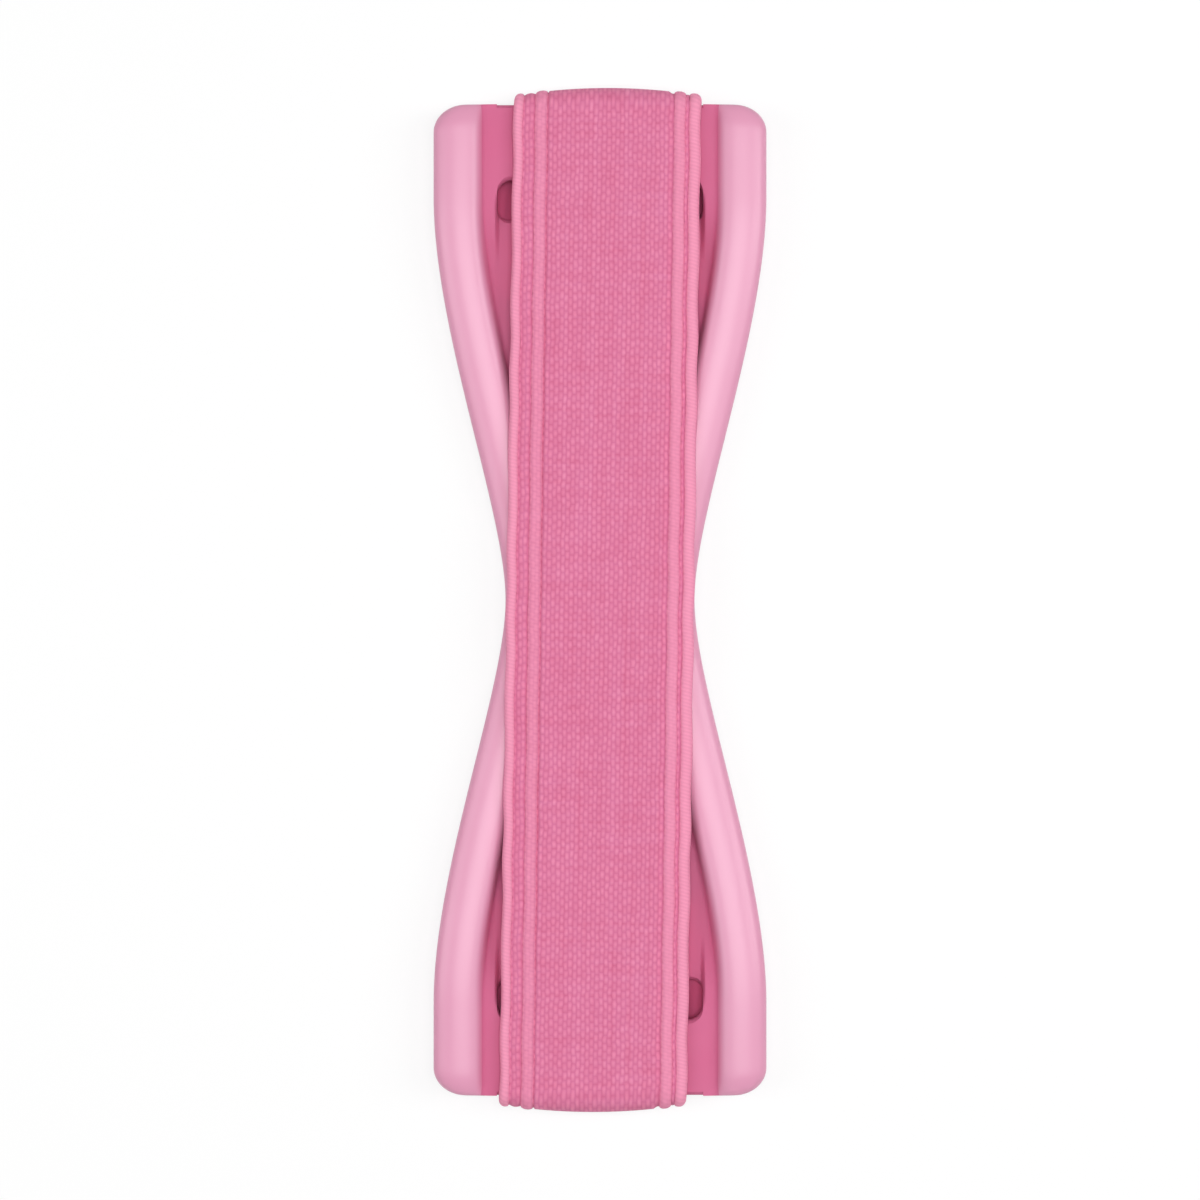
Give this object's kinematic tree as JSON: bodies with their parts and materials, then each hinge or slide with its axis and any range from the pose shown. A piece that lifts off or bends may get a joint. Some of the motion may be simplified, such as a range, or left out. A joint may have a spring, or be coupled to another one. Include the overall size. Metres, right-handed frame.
{
  "type": "phone finger grip",
  "caption": "Flat phone finger grip: a waisted moulded plate with raised side rails, an elastic strap looped round its end bars, and an adhesive foam back.",
  "frame": {"origin": "centre of the adhesive face, on the plane of the phone's back", "axes": "+X across the grip, +Y along the strap, +Z away from the phone"},
  "size_m": [0.0284, 0.0864, 0.0041],
  "materials": {
    "plate_plastic": "satin moulded plastic",
    "strap_elastic": "woven elastic tape",
    "pad_foam": "acrylic foam tape"
  },
  "bodies": {
    "root": {"base_plate": "plate_plastic", "elastic_strap": "strap_elastic", "adhesive_pad": "pad_foam"}
  },
  "joints": []
}
